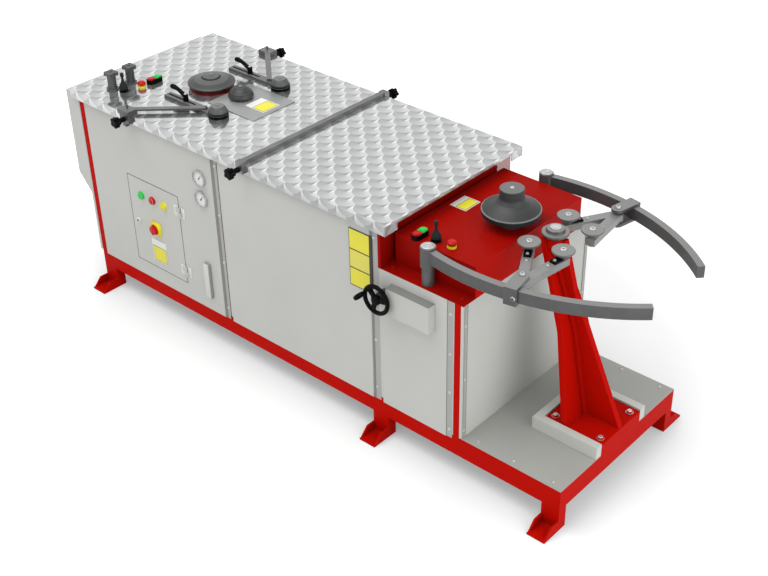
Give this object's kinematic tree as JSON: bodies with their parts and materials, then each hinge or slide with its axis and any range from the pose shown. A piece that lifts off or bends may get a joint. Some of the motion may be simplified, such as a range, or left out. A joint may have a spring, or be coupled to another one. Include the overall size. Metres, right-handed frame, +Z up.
{
  "type": "duct elbow machine",
  "caption": "Long cabinet machine that flanges and closes round duct elbows: spotted steel table with disc and guide heads, and a lower end with a cone roll, curved arms and a pedestal roller.",
  "frame": {"origin": "centre of the bounding box at floor level, on the soles of the feet", "axes": "+X along the machine from the flanging station to the seam station, +Y away from the control side, +Z up"},
  "size_m": [2.8722, 1, 1.084],
  "materials": {
    "red_paint": "glossy paint",
    "grey_paint": "satin paint",
    "floor_sheet": "satin paint",
    "table_steel": "polished in overlapping spots",
    "roll_steel": "turned and blackened",
    "arm_steel": "satin grey",
    "bar_steel": "ground",
    "column_steel": "turned",
    "hinge_steel": "satin",
    "black_plastic": "moulded",
    "red_plastic": "moulded",
    "green_plastic": "moulded",
    "dial": "dial behind a window",
    "yellow_plate": "blank plate"
  },
  "bodies": {
    "machine": {"rails": "red_paint", "crosses": "red_paint", "feet": "red_paint", "posts": "red_paint", "panel_front_left": "grey_paint", "panel_front_mid": "grey_paint", "panel_front_right": "grey_paint", "panel_rear": "grey_paint", "cover_left": "grey_paint", "deck": "red_paint", "table": "table_steel", "floor_plate": "floor_sheet", "pedestal": "red_paint", "columns": "column_steel", "drive_left": "red_paint", "drive_right": "column_steel", "consoles": "black_plastic", "ebox": "grey_paint", "gauges": "dial", "hinges": "hinge_steel", "cover_box": "grey_paint", "wheel_boss": "column_steel", "sign_plates": "yellow_plate"},
    "door": {"door": "grey_paint"},
    "switch_knob": {"switch_knob": "red_plastic"},
    "handwheel": {"handwheel": "black_plastic"},
    "crank_grip": {"crank_grip": "black_plastic"},
    "disc_left": {"disc_left": "roll_steel"},
    "roll_left": {"roll_left": "roll_steel"},
    "guide_near": {"guide_near": "bar_steel"},
    "head_near": {"head_near": "roll_steel"},
    "lever_near": {"lever_near": "black_plastic"},
    "knob_near": {"knob_near": "black_plastic"},
    "guide_far": {"guide_far": "bar_steel"},
    "head_far": {"head_far": "roll_steel"},
    "lever_far": {"lever_far": "black_plastic"},
    "knob_far": {"knob_far": "black_plastic"},
    "stop_bar": {"stop_bar": "arm_steel"},
    "stop_knob_near": {"stop_knob_near": "black_plastic"},
    "stop_knob_far": {"stop_knob_far": "black_plastic"},
    "start_left": {"start_left": "green_plastic"},
    "stop_left": {"stop_left": "red_plastic"},
    "estop_left": {"estop_left": "red_plastic"},
    "stick_left": {"stick_left": "black_plastic"},
    "start_right": {"start_right": "green_plastic"},
    "stop_right": {"stop_right": "red_plastic"},
    "estop_right": {"estop_right": "red_plastic"},
    "stick_right": {"stick_right": "black_plastic"},
    "cone_roll": {"cone_roll": "roll_steel"},
    "centre_roll": {"centre_roll": "roll_steel"},
    "arm_near": {"arm_near": "arm_steel"},
    "clamp_near": {"clamp_near": "arm_steel"},
    "bracket_near": {"bracket_near": "bar_steel"},
    "roller_near_a": {"roller_near_a": "roll_steel"},
    "roller_near_b": {"roller_near_b": "roll_steel"},
    "arm_far": {"arm_far": "arm_steel"},
    "clamp_far": {"clamp_far": "arm_steel"},
    "bracket_far": {"bracket_far": "bar_steel"},
    "roller_far_a": {"roller_far_a": "roll_steel"},
    "roller_far_b": {"roller_far_b": "roll_steel"}
  },
  "joints": [
    {"name": "door_hinge", "type": "hinge", "parent": "machine", "child": "door", "pos_m": [-0.73211, -0.393, 0.4645], "axis": [0, 0, 1], "range_deg": [0, 110]},
    {"name": "main_switch_turn", "type": "hinge", "parent": "door", "child": "switch_knob", "pos_m": [-0.90911, -0.396, 0.461], "axis": [0, 1, 0], "range_deg": [0, 90]},
    {"name": "handwheel_spin", "type": "hinge", "parent": "machine", "child": "handwheel", "pos_m": [0.44389, -0.442, 0.698], "axis": [0, 1, 0], "continuous": true},
    {"name": "grip_spin", "type": "hinge", "parent": "handwheel", "child": "crank_grip", "pos_m": [0.38911, -0.442, 0.70964], "axis": [0, 1, 0], "continuous": true},
    {"name": "disc_spin", "type": "hinge", "parent": "machine", "child": "disc_left", "pos_m": [-0.91711, 0.008, 1.02], "axis": [0, 0, 1], "continuous": true},
    {"name": "small_roll_spin", "type": "hinge", "parent": "machine", "child": "roll_left", "pos_m": [-0.73011, 0.008, 1.02], "axis": [0, 0, 1], "continuous": true},
    {"name": "guide_slide_near", "type": "slide", "parent": "machine", "child": "guide_near", "axis": [1, 0, 0], "range_m": [-0.045, 0.1]},
    {"name": "guide_head_spin_near", "type": "hinge", "parent": "guide_near", "child": "head_near", "pos_m": [-0.67511, -0.172, 1.03], "axis": [0, 0, 1], "continuous": true},
    {"name": "clamp_lever_near", "type": "hinge", "parent": "machine", "child": "lever_near", "pos_m": [-0.87111, -0.178, 1.03], "axis": [0, 0, 1], "range_deg": [-40, 40]},
    {"name": "clamp_screw_near", "type": "hinge", "parent": "guide_near", "child": "knob_near", "pos_m": [-0.97811, -0.437, 0.986], "axis": [0, 1, 0], "continuous": true},
    {"name": "guide_slide_far", "type": "slide", "parent": "machine", "child": "guide_far", "axis": [1, 0, 0], "range_m": [-0.045, 0.1]},
    {"name": "guide_head_spin_far", "type": "hinge", "parent": "guide_far", "child": "head_far", "pos_m": [-0.67511, 0.188, 1.03], "axis": [0, 0, 1], "continuous": true},
    {"name": "clamp_lever_far", "type": "hinge", "parent": "machine", "child": "lever_far", "pos_m": [-0.87111, 0.194, 1.03], "axis": [0, 0, 1], "range_deg": [-40, 40]},
    {"name": "clamp_screw_far", "type": "hinge", "parent": "guide_far", "child": "knob_far", "pos_m": [-0.97811, 0.453, 0.986], "axis": [0, 1, 0], "continuous": true},
    {"name": "stop_slide", "type": "slide", "parent": "machine", "child": "stop_bar", "axis": [1, 0, 0], "range_m": [-0.2, 0.6]},
    {"name": "stop_screw_near", "type": "hinge", "parent": "stop_bar", "child": "stop_knob_near", "pos_m": [-0.28311, -0.437, 0.986], "axis": [0, 1, 0], "continuous": true},
    {"name": "stop_screw_far", "type": "hinge", "parent": "stop_bar", "child": "stop_knob_far", "pos_m": [-0.28311, 0.453, 0.986], "axis": [0, 1, 0], "continuous": true},
    {"name": "start_left_press", "type": "slide", "parent": "machine", "child": "start_left", "axis": [0, 0, 1], "range_m": [-0.0035, 0], "stiffness_N_per_m": 400, "springref_m": 0.002},
    {"name": "stop_left_press", "type": "slide", "parent": "machine", "child": "stop_left", "axis": [0, 0, 1], "range_m": [-0.0035, 0], "stiffness_N_per_m": 400, "springref_m": 0.002},
    {"name": "start_right_press", "type": "slide", "parent": "machine", "child": "start_right", "axis": [0, 0, 1], "range_m": [-0.0035, 0], "stiffness_N_per_m": 400, "springref_m": 0.002},
    {"name": "stop_right_press", "type": "slide", "parent": "machine", "child": "stop_right", "axis": [0, 0, 1], "range_m": [-0.0035, 0], "stiffness_N_per_m": 400, "springref_m": 0.002},
    {"name": "estop_left_press", "type": "slide", "parent": "machine", "child": "estop_left", "axis": [0, 0, 1], "range_m": [-0.004, 0]},
    {"name": "estop_right_press", "type": "slide", "parent": "machine", "child": "estop_right", "axis": [0, 0, 1], "range_m": [-0.004, 0]},
    {"name": "stick_left_tilt", "type": "hinge", "parent": "machine", "child": "stick_left", "pos_m": [-1.17411, -0.269, 1.014], "axis": [1, 0, 0], "range_deg": [-12, 12], "stiffness_Nm_per_rad": 0.5},
    {"name": "stick_right_tilt", "type": "hinge", "parent": "machine", "child": "stick_right", "pos_m": [0.58789, -0.269, 0.944], "axis": [1, 0, 0], "range_deg": [-12, 12], "stiffness_Nm_per_rad": 0.5},
    {"name": "cone_spin", "type": "hinge", "parent": "machine", "child": "cone_roll", "pos_m": [0.71789, 0.008, 1], "axis": [0, 0, 1], "continuous": true},
    {"name": "centre_spin", "type": "hinge", "parent": "machine", "child": "centre_roll", "pos_m": [0.91789, 0.008, 0.97], "axis": [0, 0, 1], "continuous": true},
    {"name": "arm_swing_near", "type": "hinge", "parent": "machine", "child": "arm_near", "pos_m": [0.61989, -0.353, 0.927], "axis": [0, 0, 1], "range_deg": [-30, 1]},
    {"name": "arm_clamp_travel_near", "type": "hinge", "parent": "arm_near", "child": "clamp_near", "pos_m": [0.83389, 0.50677, 0.927], "axis": [0, 0, 1], "range_deg": [-1, 6]},
    {"name": "bracket_swing_near", "type": "hinge", "parent": "clamp_near", "child": "bracket_near", "pos_m": [0.9906, -0.29201, 0.921], "axis": [0, 0, 1], "range_deg": [-6, 6]},
    {"name": "roller_spin_near_a", "type": "hinge", "parent": "bracket_near", "child": "roller_near_a", "pos_m": [0.8893, -0.11371, 0.96], "axis": [0, 0, 1], "continuous": true},
    {"name": "roller_spin_near_b", "type": "hinge", "parent": "bracket_near", "child": "roller_near_b", "pos_m": [1.0163, -0.08371, 0.96], "axis": [0, 0, 1], "continuous": true},
    {"name": "arm_swing_far", "type": "hinge", "parent": "machine", "child": "arm_far", "pos_m": [0.61989, 0.369, 0.927], "axis": [0, 0, 1], "range_deg": [-1, 30]},
    {"name": "arm_clamp_travel_far", "type": "hinge", "parent": "arm_far", "child": "clamp_far", "pos_m": [0.83389, -0.49077, 0.927], "axis": [0, 0, 1], "range_deg": [-6, 1]},
    {"name": "bracket_swing_far", "type": "hinge", "parent": "clamp_far", "child": "bracket_far", "pos_m": [0.9906, 0.308, 0.921], "axis": [0, 0, 1], "range_deg": [-6, 6]},
    {"name": "roller_spin_far_a", "type": "hinge", "parent": "bracket_far", "child": "roller_far_a", "pos_m": [0.8893, 0.1297, 0.96], "axis": [0, 0, 1], "continuous": true},
    {"name": "roller_spin_far_b", "type": "hinge", "parent": "bracket_far", "child": "roller_far_b", "pos_m": [1.0163, 0.09971, 0.96], "axis": [0, 0, 1], "continuous": true}
  ],
  "couplings": [
    {"joint": "small_roll_spin", "follows": "disc_spin", "ratio": -1.8727}
  ]
}
